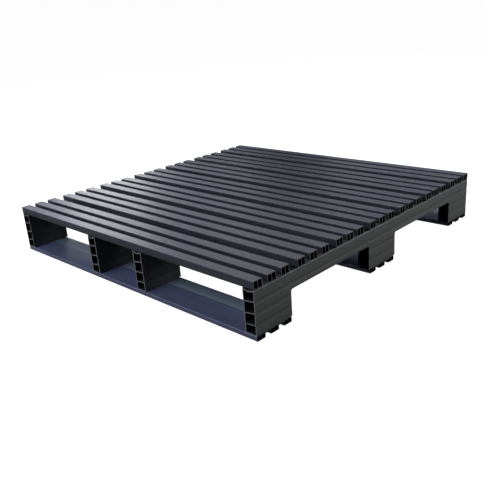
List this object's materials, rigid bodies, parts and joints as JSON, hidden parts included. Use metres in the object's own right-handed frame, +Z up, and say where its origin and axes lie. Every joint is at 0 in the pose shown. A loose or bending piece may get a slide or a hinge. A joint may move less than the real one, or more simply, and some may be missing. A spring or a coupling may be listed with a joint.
{
  "type": "stringer pallet",
  "caption": "Plastic stringer pallet of hollow ribbed extruded boards screwed across notched hollow stringers, with grooved bottom boards and fork openings on every side.",
  "frame": {"origin": "centre of the pallet's footprint, on the floor under the bottom boards", "axes": "+X along the boards, +Y along the stringers, +Z up; the face with the stringers' open ends that the fork truck meets first is at -Y"},
  "size_m": [1.2192, 1.2192, 0.1752],
  "materials": {
    "board_plastic": "extruded recycled HDPE, black, satin, with fine die lines",
    "stringer_plastic": "extruded recycled HDPE, black, matt, with faint sink bands",
    "screw_steel": "dark coated steel, satin"
  },
  "bodies": {
    "root": {"stringer_1": "stringer_plastic", "stringer_2": "stringer_plastic", "stringer_3": "stringer_plastic", "stringer_4": "stringer_plastic", "deck_board_1": "board_plastic", "deck_board_2": "board_plastic", "deck_board_3": "board_plastic", "deck_board_4": "board_plastic", "deck_board_5": "board_plastic", "deck_board_6": "board_plastic", "deck_board_7": "board_plastic", "bottom_board_1": "board_plastic", "bottom_board_2": "board_plastic", "bottom_board_3": "board_plastic", "deck_screw_1_1": "screw_steel", "deck_screw_1_2": "screw_steel", "deck_screw_1_3": "screw_steel", "deck_screw_1_4": "screw_steel", "deck_screw_2_1": "screw_steel", "deck_screw_2_2": "screw_steel", "deck_screw_2_3": "screw_steel", "deck_screw_2_4": "screw_steel", "deck_screw_3_1": "screw_steel", "deck_screw_3_2": "screw_steel", "deck_screw_3_3": "screw_steel", "deck_screw_3_4": "screw_steel", "deck_screw_4_1": "screw_steel", "deck_screw_4_2": "screw_steel", "deck_screw_4_3": "screw_steel", "deck_screw_4_4": "screw_steel", "deck_screw_5_1": "screw_steel", "deck_screw_5_2": "screw_steel", "deck_screw_5_3": "screw_steel", "deck_screw_5_4": "screw_steel", "deck_screw_6_1": "screw_steel", "deck_screw_6_2": "screw_steel", "deck_screw_6_3": "screw_steel", "deck_screw_6_4": "screw_steel", "deck_screw_7_1": "screw_steel", "deck_screw_7_2": "screw_steel", "deck_screw_7_3": "screw_steel", "deck_screw_7_4": "screw_steel", "bottom_screw_1_1": "screw_steel", "bottom_screw_1_2": "screw_steel", "bottom_screw_1_3": "screw_steel", "bottom_screw_1_4": "screw_steel", "bottom_screw_2_1": "screw_steel", "bottom_screw_2_2": "screw_steel", "bottom_screw_2_3": "screw_steel", "bottom_screw_2_4": "screw_steel", "bottom_screw_3_1": "screw_steel", "bottom_screw_3_2": "screw_steel", "bottom_screw_3_3": "screw_steel", "bottom_screw_3_4": "screw_steel"}
  },
  "joints": []
}
